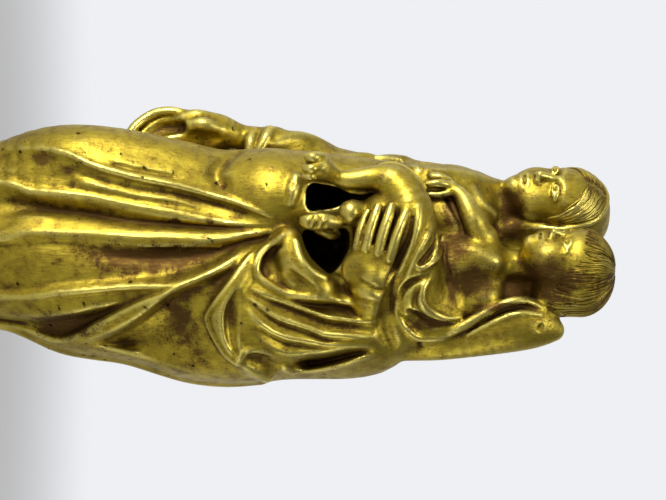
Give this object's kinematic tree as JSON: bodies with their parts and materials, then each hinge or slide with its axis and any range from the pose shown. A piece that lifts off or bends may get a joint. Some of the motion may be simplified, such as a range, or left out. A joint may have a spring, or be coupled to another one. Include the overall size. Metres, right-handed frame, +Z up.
{
  "type": "madonna and child statuette",
  "caption": "Small gilt bronze statuette of a standing mother in a long mantle with her child on her left arm, cast in one piece with a low oval base.",
  "frame": {"origin": "on the flat underside of the base, near its middle", "axes": "+Z up along the figure, -Y the way the mother faces, +X towards her left, where the child sits"},
  "size_m": [0.0416, 0.038, 0.116],
  "materials": {
    "gilt_bronze": "old fire gilding, rubbed bright on the crests, with dark brown patina in the recesses, pits and fine file marks"
  },
  "bodies": {
    "root": {"mother_and_child": "gilt_bronze"}
  },
  "joints": []
}
